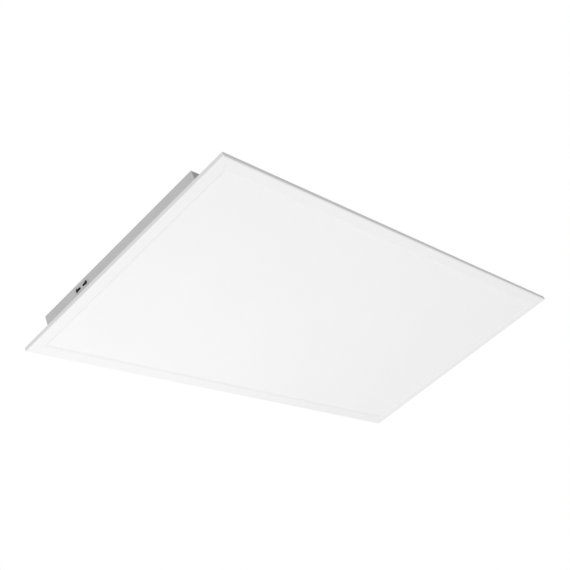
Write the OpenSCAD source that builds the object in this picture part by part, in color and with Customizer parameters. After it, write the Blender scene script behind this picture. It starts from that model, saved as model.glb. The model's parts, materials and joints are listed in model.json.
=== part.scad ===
// Recessed back-lit LED ceiling panel, nominal 2 x 4 ft, lay-in type.
// X runs along the long side and Y along the short side. Z = 0 is the front face of the bezel,
// which looks down, and +Z goes up into the ceiling. The origin is the middle of the face.

/* [Panel] */
// Length of the panel, outside the frame
panel_l = 1213; // [1190:1:1250]
// Width of the panel, outside the frame
panel_w = 603; // [590:1:640]
// Height of the frame's rim
rim_h = 10; // [9.5:0.1:11]
// Radius of the frame's rolled outer edge
edge_r = 3; // [1:0.5:3]
// Width of the bezel on the face
bezel_w = 26; // [26:0.5:33]
// Width of the bevelled lip between the bezel and the diffuser
lip_w = 4.5; // [2:0.5:5]
// Thickness of the opal diffuser
diffuser_t = 1.5; // [1:0.1:2]

/* [Housing] */
// Width of the back box
box_w = 450; // [440:1:460]
// Height of the back box's top over the face
box_top = 33.3; // [33:0.1:36]
// Distance from the panel's short edge in to the box's end wall
end_inset = 1.7; // [1.5:0.1:2]
// Thickness of the housing sheet
sheet_t = 0.6; // [0.5:0.1:0.9]

/* [Light engine] */
// Length of one LED strip
board_l = 1120; // [1060:1:1130]
// Width of one LED strip
board_w = 18; // [14:1:20]
// Distance between neighbouring strips
board_pitch = 112; // [108:1:114]
// LEDs on one strip
leds_per_board = 12; // [12:2:12]

/* [Selector switches] */
// Middle of the selector surround, along Y
selector_y = 108.5; // [100:0.5:115]
// Middle of the selector surround, over the face
selector_z = 20.2; // [19:0.1:21]
// Travel of each slider
slider_travel = 8; // [6:0.5:8]

/* [Driver box] */
// Length of the driver box
driver_box_l = 320; // [320:1:340]
// Width of the driver box
driver_box_w = 100; // [98:1:101]
// Height of the driver box over the back box
driver_box_h = 26.7; // [26.5:0.1:32]
// Diameter of the open conduit knockout
knockout_d = 22.2; // [20:0.1:22.4]

/* [Ceiling fixings] */
// Length of a swing-out clip from its pivot to its tip
clip_reach = 115; // [105:1:120]
// Height of the clip's underside over the face, which clears the ceiling tee
clip_z = 39; // [38.5:0.1:42]
// Distance between the tie-wire tabs along X
hanger_span_x = 1120; // [1080:1:1140]
// Distance between the tie-wire tabs along Y
hanger_span_y = 390; // [380:1:400]
// Diameter of a tie-wire hole
hanger_hole_d = 7; // [5:0.1:8]

/* [Hidden] */
$fn = 40;

// How far a cutting tool runs past the face that it opens
over = 1;
// Overlap that joins two shapes of one piece
bite = 0.1;

// Colours
white_paint = [0.95, 0.95, 0.95];
grey_coat = [0.74, 0.74, 0.75];
zinc = [0.68, 0.69, 0.71];
opal = [0.97, 0.97, 0.97];
black_plastic = [0.06, 0.06, 0.06];
board_white = [0.93, 0.94, 0.92];

// Frame section: u is the distance in from the panel's edge
face_t = 1.5;
wall_t = 1.2;
ledge_w = 14;
ledge_t = 1;
ledge_top = rim_h - sheet_t;
ledge_z = ledge_top - ledge_t;
lip_land = 0.3;
mitre_gap = 0.05;
key_leg = 70;
key_gap = 0.1;
diffuser_u = bezel_w - 10.5;
diffuser_top = face_t + diffuser_t;
seal_w = 7;
seal_h = 3;
seal_inset = 1;
tray_u = bezel_w - 0.5;
tray_t = 0.6;
tray_gap = 0.5;
tray_play = 0.2;

// Housing
box_half = box_w / 2;
box_in = box_top - sheet_t;
wall_x = panel_l / 2 - end_inset;
pan_x = wall_x - sheet_t;
flange_half = panel_w / 2 - wall_t - 0.2;
end_tab_w = 14;
end_hem_w = 10;
end_tab_inset = 10;

// Light engine, stacked down from the inside of the pan
board_t = 1.2;
board_z = box_in - board_t;
led_pitch = board_l / leds_per_board;
led_size = 3.5;
led_h = 0.7;
lens_r = 7.5;
lens_h = 5.9;
lens_wall = 1.5;
lens_cavity_r = 2.9;
lens_hole_r = lens_r + 1;
wire_gap = 2.1;
tray_top = board_z - wire_gap;
wire_z = board_z - wire_gap / 2;
connector_l = 14;
connector_w = 10;
connector_play = 0.1;
rivet_steps = [-4, -1, 1, 4];
harness_r = 0.8;
harness_x = 3;

// Fasteners
screw_r = 1.45;
screw_hole_r = 1.5;
screw_head_r = 3.2;
screw_head_h = 1.8;
recess_l = 3.84;
recess_w = 0.8;
recess_depth = 0.7;
flange_screw_l = 5;
rivet_r = 1.6;
rivet_hole_r = 1.65;
rivet_head_r = 2.8;
rivet_head_h = 0.9;
rivet_crown_r = 2;

// Selector
stadium_l = 45;
stadium_h = 14.5;
cutout_l = 41;
cutout_h = 10.5;
bezel_plate_t = 0.6;
bezel_gap = 0.15;
slot_h = 5.5;
slot_offset = 10;
cap_l = 6;
slot_l = cap_l + slider_travel;
cap_h = 8;
cap_t = 0.95;
cap_gap = 0.05;
ridge_w = 0.5;
ridge_pitch = 1.5;
stem_l = 4;
stem_h = 3;
stem_reach = 3;
switch_l = 18;
switch_h = 7.6;
switch_depth = 6.2;
plug_depth = 3.3;
leg_w = 3;
leg_t = 0.9;
leg_gap = 0.2;
switch_board_l = 42;
switch_board_h = 12;
switch_board_t = 1.6;
selector_cable_r = 0.9;

// Driver box
floor_t = 1;
floor_z = box_top + floor_t;
cover_t = 1;
cover_z = box_top + driver_box_h - cover_t;
pin_r = 1.5;
pin_gap = 0.05;
knuckle_r = 2.4;
pin_y = driver_box_w / 2 + knuckle_r + 0.2;
pin_z = cover_z + cover_t - knuckle_r;
knuckle_span = 150;
knuckle_l = 16;
knuckle_play = 0.5;
cover_gap = 0.3;
cover_lip_h = 7;
cover_screw_flange = [24, 12, 1.5];
cover_screw_play = 0.35;
ear_l = 12;
ear_w = 20;
ear_y = 30;
knockout_z = box_top + 13.5;
side_knockout_x = 100;
knockout_groove = 0.5;
knockout_depth = 0.3;
driver_l = 230;
driver_w = 30;
driver_h = 21;
driver_x = -150;
driver_y = -46;
driver_tab = [14, 9, 1];
wire_loop = 5;
grommet_x = [0, -24];
grommet_r = 5;
grommet_wall = 1.2;
grommet_rim = 1;
cover_screw_y = -driver_box_w / 2 + 7;
splice_y = 8;
splice_pitch = 8.8;
splice_w = 8;
splice_l = 18;
splice_h = 6;
splice_x = 40;
lead_r = 1.1;
lead_z = floor_z + 0.1 + splice_h / 2;
ground_y = splice_y + 4 * splice_pitch;
ground_x = 18;
ring_r = 3.6;
ring_t = 1;
crimp = [5, 3, 2.8];
crimp_x = 4;
hex_r = 3.4;
hex_h = 2.6;

// Clips and hangers
clip_x = 500;
clip_y = 205;
clip_w = 18;
clip_t = 1.5;
clip_finger = [12, 1.5, 8];
clip_hole_r = 2.5;
post_r = 2.5;
post_play = 0.1;
post_foot_r = 6;
post_head_r = 5;
post_head_h = 1.4;
post_tail_r = 4;
post_tail_h = 1;
tab_w = 24;
tab_t = 1.2;
tab_rise = 9;
tab_base_l = 20;
tab_step_x = 14;
tab_top_l = 26;
tab_rivet_in = 25;
tab_rivet_dy = 5;

// Positions that several pieces share
long_screw_x = [-568, -380, -190, 0, 190, 380, 568];
ledge_mid = (ledge_w + wall_t) / 2;
short_screw_in = 40;
long_screw_y = panel_w / 2 - ledge_mid;
short_screw_x = panel_l / 2 - ledge_mid;
short_screw_y = panel_w / 2 - short_screw_in;
flange_screw_points = concat(
    [for (x = long_screw_x, s = [-1, 1]) [x, s * long_screw_y]],
    [for (sx = [-1, 1], sy = [-1, 1]) [sx * short_screw_x, sy * short_screw_y]]
);
end_screw_y = [-200, -84, 84, 200];
end_screw_points = [for (s = [-1, 1], y = end_screw_y) [s * (pan_x - end_tab_w / 2), y]];
ear_points = [for (sx = [-1, 1], sy = [-1, 1]) [sx * (driver_box_l / 2 + ear_l / 2), sy * ear_y]];
driver_screw_inset = 40;
driver_screw_x = [driver_x + driver_screw_inset, driver_x + driver_l - driver_screw_inset];
driver_screw_points = [for (x = driver_screw_x) [x, driver_y + driver_w + 4]];
corners = [[-1, -1], [1, -1], [1, 1], [-1, 1]];
clip_points = [for (c = corners) [c[0] * clip_x, c[1] * clip_y]];
hanger_points = [for (c = corners) [c[0] * hanger_span_x / 2, c[1] * hanger_span_y / 2]];

function board_y(i) = (i - 2.5) * board_pitch;
function led_x(k) = (k - (leds_per_board - 1) / 2) * led_pitch;
led_points = [for (i = [1:4], k = [0:leds_per_board - 1]) [led_x(k), board_y(i)]];
board_rivet_points = [for (i = [1:4], s = rivet_steps) [s * led_pitch, board_y(i)]];
hanger_rivet_points = [
    for (p = hanger_points, s = [-1, 1])
        [p[0] - sign(p[0]) * tab_rivet_in, p[1] + s * tab_rivet_dy]
];

// ---- Shared shapes ----

// Round holes down through a sheet of thickness t whose underside is at height z
module drill(points, r, z, t) {
    for (p = points) translate([p[0], p[1], z - over]) cylinder(r = r, h = t + 2 * over);
}

// A pan-head screw whose head sits on height z and whose shank goes down
module screw_down(p, z, length) {
    translate([p[0], p[1], z]) {
        difference() {
            cylinder(r = screw_head_r, h = screw_head_h);
            for (turn = [0, 90]) rotate(turn)
                translate([-recess_l / 2, -recess_w / 2, screw_head_h - recess_depth])
                    cube([recess_l, recess_w, recess_depth + over]);
        }
        translate([0, 0, -length]) cylinder(r = screw_r, h = length);
    }
}

// A bar with round ends along Y, standing on the plane x = 0 and as deep as depth along +X
module stadium(length, height, depth) {
    rotate([90, 0, 90]) linear_extrude(depth) stadium_outline(length, height);
}

module stadium_outline(length, height) {
    square([length - height, height], center = true);
    for (s = [-1, 1]) translate([s * (length - height) / 2, 0]) circle(d = height);
}

// A round wire through a list of points, with a ball at each bend
module wire(points, r) {
    for (i = [0:len(points) - 2]) {
        step = points[i + 1] - points[i];
        length = norm(step);
        turn = [0, acos(step[2] / length), atan2(step[1], step[0])];
        translate(points[i]) rotate(turn) cylinder(r = r, h = length);
        if (i > 0) translate(points[i]) sphere(r = r);
    }
}

// ---- Frame ----

function rail_profile() = concat(
    [for (a = [180:15:270]) [edge_r + edge_r * cos(a), edge_r + edge_r * sin(a)]],
    [
        [bezel_w, 0], [bezel_w + lip_w, face_t - lip_land], [bezel_w + lip_w, face_t],
        [wall_t, face_t], [wall_t, ledge_z], [ledge_w, ledge_z], [ledge_w, ledge_top],
        [wall_t, ledge_top], [wall_t, rim_h], [0, rim_h]
    ]
);

// A mitred rail along X whose outer edge is at y = -offset
module rail(length, offset) {
    reach = bezel_w + lip_w + over;
    end = length / 2 - mitre_gap;
    intersection() {
        translate([-length / 2, -offset, 0]) rotate([90, 0, 90])
            linear_extrude(length) polygon(rail_profile());
        translate([0, 0, -over]) linear_extrude(rim_h + 2 * over) polygon([
            [-end - over, -offset - over], [end + over, -offset - over],
            [end - reach, -offset + reach], [-end + reach, -offset + reach]
        ]);
    }
}

module frame_rail(turn, length, offset) {
    color(white_paint) difference() {
        rotate([0, 0, turn]) rail(length, offset);
        drill(flange_screw_points, screw_hole_r, ledge_z, ledge_t);
    }
}

module frame_rail_front() { frame_rail(0, panel_l, panel_w / 2); }
module frame_rail_rear() { frame_rail(180, panel_l, panel_w / 2); }
module frame_rail_left() { frame_rail(-90, panel_w, panel_l / 2); }
module frame_rail_right() { frame_rail(90, panel_w, panel_l / 2); }

module corner_key(sx, sy) {
    inner = wall_t + key_gap;
    width = ledge_w - inner - key_gap;
    height = ledge_z - face_t;
    mirror([sx > 0 ? 1 : 0, 0, 0]) mirror([0, sy > 0 ? 1 : 0, 0])
        translate([-panel_l / 2 + inner, -panel_w / 2 + inner, face_t]) {
            cube([key_leg, width, height]);
            cube([width, key_leg, height]);
        }
}

module corner_keys() {
    color(zinc) difference() {
        for (c = corners) corner_key(c[0], c[1]);
        drill(flange_screw_points, screw_hole_r, rim_h - flange_screw_l, flange_screw_l);
    }
}

module flange_screws() {
    color(zinc) for (p = flange_screw_points) screw_down(p, rim_h, flange_screw_l);
}

module light_seals() {
    length = panel_l - 2 * (diffuser_u + seal_inset);
    width = panel_w - 2 * (diffuser_u + seal_inset);
    short_l = width - 2 * (seal_w + seal_inset);
    color(black_plastic) translate([0, 0, diffuser_top]) for (s = [0, 1]) {
        mirror([0, s, 0]) translate([-length / 2, -width / 2, 0]) cube([length, seal_w, seal_h]);
        mirror([s, 0, 0]) translate([-length / 2, -short_l / 2, 0]) cube([seal_w, short_l, seal_h]);
    }
}

module diffuser_plate() {
    color(opal) translate([-panel_l / 2 + diffuser_u, -panel_w / 2 + diffuser_u, face_t])
        cube([panel_l - 2 * diffuser_u, panel_w - 2 * diffuser_u, diffuser_t]);
}

// ---- Light engine ----

module tray_form(inset, top_drop) {
    length = panel_l - 2 * tray_u - 2 * inset;
    skirt = panel_w - 2 * tray_u - 2 * inset;
    crown = box_w - 2 * (sheet_t + tray_gap + inset);
    bottom = diffuser_top - top_drop;
    translate([-length / 2, -skirt / 2, bottom])
        cube([length, skirt, ledge_top - tray_play - diffuser_top]);
    translate([-length / 2, -crown / 2, bottom]) cube([length, crown, tray_top - diffuser_top]);
}

module reflector_tray() {
    color(white_paint) difference() {
        tray_form(0, 0);
        tray_form(tray_t, tray_t);
        drill(led_points, lens_hole_r, tray_top - tray_t, tray_t);
    }
}

module led_board(i) {
    color(board_white) difference() {
        translate([-board_l / 2, board_y(i) - board_w / 2, board_z]) cube([board_l, board_w, board_t]);
        drill(board_rivet_points, rivet_hole_r, board_z, board_t);
    }
}

module led_packages() {
    color([0.95, 0.85, 0.35]) for (p = led_points)
        translate([p[0] - led_size / 2, p[1] - led_size / 2, board_z - led_h])
            cube([led_size, led_size, led_h]);
}

// A dome whose foot is on the strip and whose crown points at the diffuser
module lens() {
    crown = lens_h - lens_wall;
    dome_r = (crown * crown + lens_r * lens_r) / (2 * crown);
    rotate_extrude() difference() {
        intersection() {
            translate([0, -lens_h + dome_r]) circle(r = dome_r);
            translate([0, -lens_h]) square([lens_r, lens_h]);
        }
        circle(r = lens_cavity_r);
    }
}

module led_lenses() {
    color([0.85, 0.9, 0.95, 0.6]) for (p = led_points) translate([p[0], p[1], board_z]) lens();
}

module board_connectors() {
    height = wire_gap - connector_play;
    color(opal) for (i = [1:4])
        translate([-connector_l / 2, board_y(i) - connector_w / 2, board_z - height])
            cube([connector_l, connector_w, height]);
}

module board_rivets() {
    color(zinc) for (p = board_rivet_points) translate([p[0], p[1], 0]) {
        translate([0, 0, board_z - rivet_head_h]) cylinder(r = rivet_head_r, h = rivet_head_h);
        translate([0, 0, board_z]) cylinder(r = rivet_r, h = box_top - board_z);
        translate([0, 0, box_top]) cylinder(r1 = rivet_head_r, r2 = rivet_crown_r, h = rivet_head_h);
    }
}

// One conductor of the harness: links the strips, then rises through the grommet to the driver
module harness_wire(x, side_y, z_box, driver_side) {
    half = connector_w / 2;
    loop_x = driver_x - wire_loop;
    for (i = [1:3])
        wire([[x, board_y(i) + half, wire_z], [x, board_y(i + 1) - half, wire_z]], harness_r);
    wire([
        [x, 0, wire_z], [x, 0, z_box], [x, side_y, z_box],
        [loop_x, side_y, z_box], [loop_x, driver_side, z_box], [driver_x, driver_side, z_box]
    ], harness_r);
}

module led_harness() {
    color([0.7, 0.1, 0.1])
        harness_wire(harness_x, harness_x, floor_z + 4, driver_y + driver_w / 2 + 3);
    color(black_plastic)
        harness_wire(-harness_x, -harness_x, floor_z + 8, driver_y + driver_w / 2 - 3);
}

// ---- Housing ----

function pan_profile() = [
    [-flange_half, ledge_top], [-box_half + sheet_t, ledge_top], [-box_half + sheet_t, box_in],
    [box_half - sheet_t, box_in], [box_half - sheet_t, ledge_top], [flange_half, ledge_top],
    [flange_half, rim_h], [box_half, rim_h], [box_half, box_top],
    [-box_half, box_top], [-box_half, rim_h], [-flange_half, rim_h]
];

module housing_pan() {
    color(grey_coat) difference() {
        translate([-pan_x, 0, 0]) rotate([90, 0, 90]) linear_extrude(2 * pan_x) polygon(pan_profile());
        drill(flange_screw_points, screw_hole_r, ledge_top, sheet_t);
        drill(end_screw_points, screw_hole_r, box_in, sheet_t);
        drill(ear_points, screw_hole_r, box_in, sheet_t);
        drill(driver_screw_points, screw_hole_r, box_in, sheet_t);
        drill(board_rivet_points, rivet_hole_r, box_in, sheet_t);
        drill(hanger_rivet_points, rivet_hole_r, box_in, sheet_t);
        drill(clip_points, post_r + pin_gap, box_in, sheet_t);
        drill([for (x = grommet_x) [x, 0]], grommet_r, box_in, sheet_t);
    }
}

// End wall at +X with a tab under the pan's top and a hem on the rail's ledge
module end_plate() {
    half = box_half - end_tab_inset;
    difference() {
        union() {
            translate([pan_x, -box_half, ledge_top]) cube([sheet_t, box_w, box_top - ledge_top]);
            translate([pan_x - end_tab_w, -half, box_in - sheet_t])
                cube([end_tab_w + bite, 2 * half, sheet_t]);
            translate([pan_x - end_hem_w, -half, ledge_top]) cube([end_hem_w + bite, 2 * half, sheet_t]);
        }
        drill(end_screw_points, screw_hole_r, box_in - sheet_t, sheet_t);
    }
}

module end_plate_left() {
    color(grey_coat) difference() {
        mirror([1, 0, 0]) end_plate();
        translate([-wall_x - over, selector_y, selector_z])
            stadium(cutout_l, cutout_h, sheet_t + 2 * over);
    }
}

module end_plate_right() {
    color(grey_coat) end_plate();
}

module end_plate_screws() {
    color(zinc) for (p = end_screw_points) screw_down(p, box_top, 4);
}

// ---- Selector switches on the left end wall ----

// The outer end of each slot is where its slider rests: s is -1 for brightness, +1 for colour
module at_slot(s) {
    translate([-wall_x, selector_y + s * slot_offset, selector_z]) children();
}

module selector_bezel() {
    leg_z = cutout_h / 2 - bezel_gap - leg_t / 2;
    leg_l = sheet_t + switch_depth;
    color([0.82, 0.82, 0.82]) difference() {
        translate([-wall_x, selector_y, selector_z]) {
            translate([-bezel_plate_t, 0, 0]) stadium(stadium_l, stadium_h, bezel_plate_t);
            stadium(cutout_l - 2 * bezel_gap, cutout_h - 2 * bezel_gap, plug_depth);
            for (s = [-1, 1]) translate([plug_depth, -leg_w / 2, s * leg_z - leg_t / 2])
                cube([leg_l, leg_w, leg_t]);
        }
        for (s = [-1, 1]) at_slot(s) translate([-bezel_plate_t - over, 0, 0])
            stadium(slot_l, slot_h, bezel_plate_t + plug_depth + 2 * over);
    }
}

module slider(s) {
    rest = s * (slot_l - cap_l) / 2;
    back_x = -bezel_plate_t - cap_gap;
    color(black_plastic) at_slot(s) translate([0, rest, 0]) {
        difference() {
            translate([back_x - cap_t, 0, 0]) rotate([90, 0, 0]) stadium(cap_h, cap_l, cap_t);
            for (k = [-1:1]) translate([back_x - cap_t - bite, k * ridge_pitch - ridge_w / 2, -cap_h / 4])
                cube([ridge_w, ridge_w, cap_h / 2]);
        }
        translate([back_x, -stem_l / 2, -stem_h / 2])
            cube([bezel_plate_t + plug_depth + stem_reach, stem_l, stem_h]);
    }
}

module brightness_slider() { slider(-1); }
module color_slider() { slider(1); }

module slide_switch(s) {
    color([0.25, 0.25, 0.27]) at_slot(s) difference() {
        translate([plug_depth + cap_gap, -switch_l / 2, -switch_h / 2])
            cube([switch_depth - cap_gap, switch_l, switch_h]);
        translate([plug_depth - over, -slot_l / 2, -slot_h / 2])
            cube([over + stem_reach + 0.5, slot_l, slot_h]);
    }
}

module brightness_switch() { slide_switch(-1); }
module color_switch() { slide_switch(1); }

module switch_board() {
    notch = [switch_board_t + 2 * over, leg_w + 2 * leg_gap, 2.4];
    notch_z = 5.2;
    color([0.1, 0.35, 0.2]) translate([-wall_x + plug_depth + switch_depth, selector_y, selector_z])
        difference() {
            translate([0, -switch_board_l / 2, -switch_board_h / 2])
                cube([switch_board_t, switch_board_l, switch_board_h]);
            for (s = [-1, 1]) translate([-over, -notch[1] / 2, s * notch_z - notch[2] / 2]) cube(notch);
        }
}

module selector_cable() {
    start_x = -wall_x + plug_depth + switch_depth + switch_board_t;
    rise_x = start_x + 6;
    hole_x = grommet_x[1];
    loop_x = driver_x - wire_loop;
    entry_y = driver_y + driver_w - 6;
    z = floor_z + 12;
    color([0.85, 0.85, 0.85]) wire([
        [start_x, selector_y, selector_z], [rise_x, selector_y, selector_z],
        [rise_x, selector_y, wire_z], [hole_x, selector_y, wire_z],
        [hole_x, 0, wire_z], [hole_x, 0, z], [loop_x, 0, z],
        [loop_x, entry_y, z], [driver_x, entry_y, z]
    ], selector_cable_r);
}

module wire_grommets() {
    rim = grommet_rim;
    color(black_plastic) for (x = grommet_x) translate([x, 0, 0]) difference() {
        union() {
            translate([0, 0, box_in - rim]) cylinder(r = grommet_r + rim, h = rim);
            translate([0, 0, box_in]) cylinder(r = grommet_r, h = floor_z - box_in);
            translate([0, 0, floor_z]) cylinder(r = grommet_r + rim, h = rim);
        }
        drill([[0, 0]], grommet_r - grommet_wall, box_in - rim, floor_z - box_in + 2 * rim);
    }
}

// ---- Driver box ----

module knuckle(x, r_hole) {
    translate([x, pin_y, pin_z]) rotate([0, 90, 0]) difference() {
        cylinder(r = knuckle_r, h = knuckle_l);
        translate([0, 0, -over]) cylinder(r = r_hole, h = knuckle_l + 2 * over);
    }
}

// A shallow ring groove that marks a knockout still in place: +Z points into the wall
module knockout_ring() {
    translate([0, 0, knockout_depth - over]) difference() {
        cylinder(d = knockout_d, h = over);
        translate([0, 0, -over]) cylinder(d = knockout_d - 2 * knockout_groove, h = 3 * over);
    }
}

module driver_box() {
    half_l = driver_box_l / 2;
    half_w = driver_box_w / 2;
    wall_h = cover_z - box_top;
    flange = cover_screw_flange;
    color(white_paint) difference() {
        union() {
            difference() {
                translate([-half_l, -half_w, box_top]) cube([driver_box_l, driver_box_w, wall_h]);
                translate([-half_l + floor_t, -half_w + floor_t, floor_z])
                    cube([driver_box_l - 2 * floor_t, driver_box_w - 2 * floor_t, wall_h + over]);
            }
            for (p = ear_points) translate([p[0] - ear_l / 2 - bite, p[1] - ear_w / 2, box_top])
                cube([ear_l + 2 * bite, ear_w, floor_t]);
            translate([-flange[0] / 2, -half_w + floor_t / 2, cover_z - flange[2]]) cube(flange);
            for (x = [-knuckle_span / 2 - knuckle_l, knuckle_span / 2]) {
                knuckle(x, pin_r);
                translate([x, half_w - floor_t / 2, pin_z - knuckle_r])
                    cube([knuckle_l, knuckle_r, floor_t]);
            }
        }
        drill(ear_points, screw_hole_r, box_top, floor_t);
        drill(driver_screw_points, screw_hole_r, box_top, floor_t);
        drill([for (x = grommet_x) [x, 0]], grommet_r, box_top, floor_t);
        drill([[ground_x, ground_y]], screw_hole_r, box_top, floor_t);
        drill([[0, cover_screw_y]], screw_r + cover_screw_play, cover_z - flange[2], flange[2]);
        translate([half_l - floor_t - over, 0, knockout_z]) rotate([0, 90, 0])
            cylinder(d = knockout_d, h = floor_t + 2 * over);
        translate([-half_l, 0, knockout_z]) rotate([0, 90, 0]) knockout_ring();
        for (s = [-1, 1]) translate([s * side_knockout_x, -half_w, knockout_z]) rotate([-90, 0, 0])
            knockout_ring();
    }
}

module driver_box_cover() {
    half_l = driver_box_l / 2;
    half_w = driver_box_w / 2;
    hinge_half = knuckle_span / 2 - knuckle_play;
    front_y = -half_w - cover_gap;
    color(white_paint) difference() {
        union() {
            translate([-half_l, front_y, cover_z]) cube([driver_box_l, driver_box_w + bite, cover_t]);
            translate([-half_l, front_y - cover_t, cover_z + cover_t - cover_lip_h])
                cube([driver_box_l, cover_t, cover_lip_h]);
            for (x = [-hinge_half, hinge_half - knuckle_l]) {
                knuckle(x, pin_r + pin_gap);
                translate([x, half_w - cover_gap, cover_z])
                    cube([knuckle_l, knuckle_r + cover_gap, cover_t]);
            }
        }
        drill([[0, cover_screw_y]], screw_hole_r, cover_z, cover_t);
        translate([-hinge_half - over, pin_y, pin_z]) rotate([0, 90, 0])
            cylinder(r = pin_r + pin_gap, h = 2 * (hinge_half + over));
    }
}

module cover_hinge_pin() {
    length = knuckle_span + 2 * (knuckle_l + 1);
    color(zinc) translate([-length / 2, pin_y, pin_z]) rotate([0, 90, 0]) cylinder(r = pin_r, h = length);
}

module cover_screw() {
    color(zinc) screw_down([0, cover_screw_y], cover_z + cover_t, 4);
}

module driver_box_screws() {
    color(zinc) for (p = ear_points) screw_down(p, floor_z, 3);
}

module led_driver() {
    tab = driver_tab;
    color([0.9, 0.9, 0.9]) difference() {
        union() {
            translate([driver_x, driver_y, floor_z]) cube([driver_l, driver_w, driver_h]);
            for (p = driver_screw_points)
                translate([p[0] - tab[0] / 2, driver_y + driver_w - bite, floor_z]) cube(tab);
        }
        drill(driver_screw_points, screw_hole_r, floor_z, tab[2]);
    }
}

module driver_screws() {
    color(zinc) for (p = driver_screw_points) screw_down(p, floor_z + driver_tab[2], 4);
}

module splice_connectors() {
    color([0.8, 0.55, 0.3]) for (i = [0:4])
        translate([splice_x, splice_y + i * splice_pitch - splice_w / 2, floor_z])
            cube([splice_l, splice_w, splice_h]);
}

// A lead from the driver's right end, in a U round to splice i
module driver_lead(i) {
    exit_x = driver_x + driver_l;
    exit_y = driver_y + 21 - 5 * i;
    turn_x = exit_x + 4 + 2.6 * i;
    end_y = splice_y + i * splice_pitch;
    wire([
        [exit_x, exit_y, lead_z], [turn_x, exit_y, lead_z],
        [turn_x, end_y, lead_z], [splice_x + splice_l, end_y, lead_z]
    ], lead_r);
}

module line_lead() { color(black_plastic) driver_lead(3); }
module neutral_lead() { color(opal) driver_lead(2); }
module dimming_leads() {
    color([0.45, 0.25, 0.6]) driver_lead(1);
    color([0.9, 0.55, 0.65]) driver_lead(0);
}

module ground_lead() {
    crimp_end = crimp_x + crimp[0];
    color([0.1, 0.5, 0.2]) translate([ground_x, ground_y, floor_z]) {
        difference() {
            union() {
                cylinder(r = ring_r, h = ring_t);
                translate([crimp_x / 2, -crimp[1] / 2, 0])
                    cube([crimp_x / 2 + crimp[0], crimp[1], ring_t]);
                translate([crimp_x, -crimp[1] / 2, 0]) cube(crimp);
            }
            drill([[0, 0]], screw_hole_r, 0, ring_t);
        }
        translate([crimp_end, 0, crimp[2] / 2]) rotate([0, 90, 0])
            cylinder(r = lead_r, h = splice_x - ground_x - crimp_end);
    }
}

module ground_screw() {
    color([0.15, 0.5, 0.25]) translate([ground_x, ground_y, floor_z + ring_t]) {
        cylinder(r = hex_r, h = hex_h, $fn = 6);
        translate([0, 0, -ring_t - floor_t]) cylinder(r = screw_r, h = ring_t + floor_t);
    }
}

// ---- Ceiling fixings ----

// A Z-shaped tab that rises towards the panel's end: i is 1 to 4, round the corners
module hanger_tab(i) {
    p = hanger_points[i - 1];
    color(zinc) difference() {
        translate([p[0], p[1], box_top]) mirror([p[0] < 0 ? 1 : 0, 0, 0]) {
            translate([-tab_step_x - tab_base_l, -tab_w / 2, 0]) cube([tab_base_l, tab_w, tab_t]);
            translate([-tab_step_x - tab_t, -tab_w / 2, 0]) cube([tab_t, tab_w, tab_rise + tab_t]);
            translate([-tab_step_x - tab_t, -tab_w / 2, tab_rise])
                cube([tab_top_l + tab_t, tab_w, tab_t]);
        }
        drill([p], hanger_hole_d / 2, box_top + tab_rise, tab_t);
        drill(hanger_rivet_points, rivet_hole_r, box_top, tab_t);
    }
}

module hanger_rivets() {
    top = box_top + tab_t;
    color(zinc) for (p = hanger_rivet_points) translate([p[0], p[1], 0]) {
        translate([0, 0, box_in - rivet_head_h]) cylinder(r = rivet_head_r, h = rivet_head_h);
        translate([0, 0, box_in]) cylinder(r = rivet_r, h = top - box_in);
        translate([0, 0, top]) cylinder(r1 = rivet_head_r, r2 = rivet_crown_r, h = rivet_head_h);
    }
}

// A flat arm parked along X, with a finger tab at the tip: it swings out over the ceiling tee
module tbar_clip(i) {
    p = clip_points[i - 1];
    tip = clip_reach - clip_w / 2;
    color(zinc) translate([p[0], p[1], clip_z])
    mirror([p[0] > 0 ? 1 : 0, 0, 0]) mirror([0, p[1] > 0 ? 1 : 0, 0]) difference() {
        union() {
            cylinder(d = clip_w, h = clip_t);
            translate([0, -clip_w / 2, 0]) cube([tip, clip_w, clip_t]);
            translate([tip, 0, 0]) cylinder(d = clip_w, h = clip_t);
            translate([tip - clip_finger[0], -clip_w / 2 - 0.01, 0]) cube(clip_finger);
        }
        drill([[0, 0]], post_r + pin_gap, 0, clip_t);
        drill([[tip / 2, 0]], clip_hole_r, 0, clip_t);
    }
}

module clip_posts() {
    head_z = clip_z + clip_t + post_play;
    color(zinc) for (p = clip_points) translate([p[0], p[1], 0]) {
        translate([0, 0, box_in - post_tail_h]) cylinder(r = post_tail_r, h = post_tail_h);
        translate([0, 0, box_in]) cylinder(r = post_r, h = head_z - box_in);
        translate([0, 0, box_top]) cylinder(r = post_foot_r, h = clip_z - post_play - box_top);
        translate([0, 0, head_z]) cylinder(r = post_head_r, h = post_head_h);
    }
}

frame_rail_front();
frame_rail_rear();
frame_rail_left();
frame_rail_right();
corner_keys();
flange_screws();
light_seals();
diffuser_plate();
reflector_tray();
for (i = [1:4]) led_board(i);
led_packages();
led_lenses();
board_connectors();
board_rivets();
led_harness();
housing_pan();
end_plate_left();
end_plate_right();
end_plate_screws();
selector_bezel();
brightness_slider();
color_slider();
brightness_switch();
color_switch();
switch_board();
selector_cable();
wire_grommets();
driver_box();
driver_box_cover();
cover_hinge_pin();
cover_screw();
driver_box_screws();
led_driver();
driver_screws();
splice_connectors();
line_lead();
neutral_lead();
ground_lead();
dimming_leads();
ground_screw();
for (i = [1:4]) hanger_tab(i);
hanger_rivets();
for (i = [1:4]) tbar_clip(i);
clip_posts();
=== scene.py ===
"""Looks of the recessed LED ceiling panel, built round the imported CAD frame.

Lengths are in metres in the part's own frame: X along the long side, Y along the short side, and
Z = 0 at the front face, which looks down.
"""

import json
import math

import bmesh
import bpy
from mathutils import Matrix, Vector
from mathutils.geometry import delaunay_2d_cdt


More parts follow.
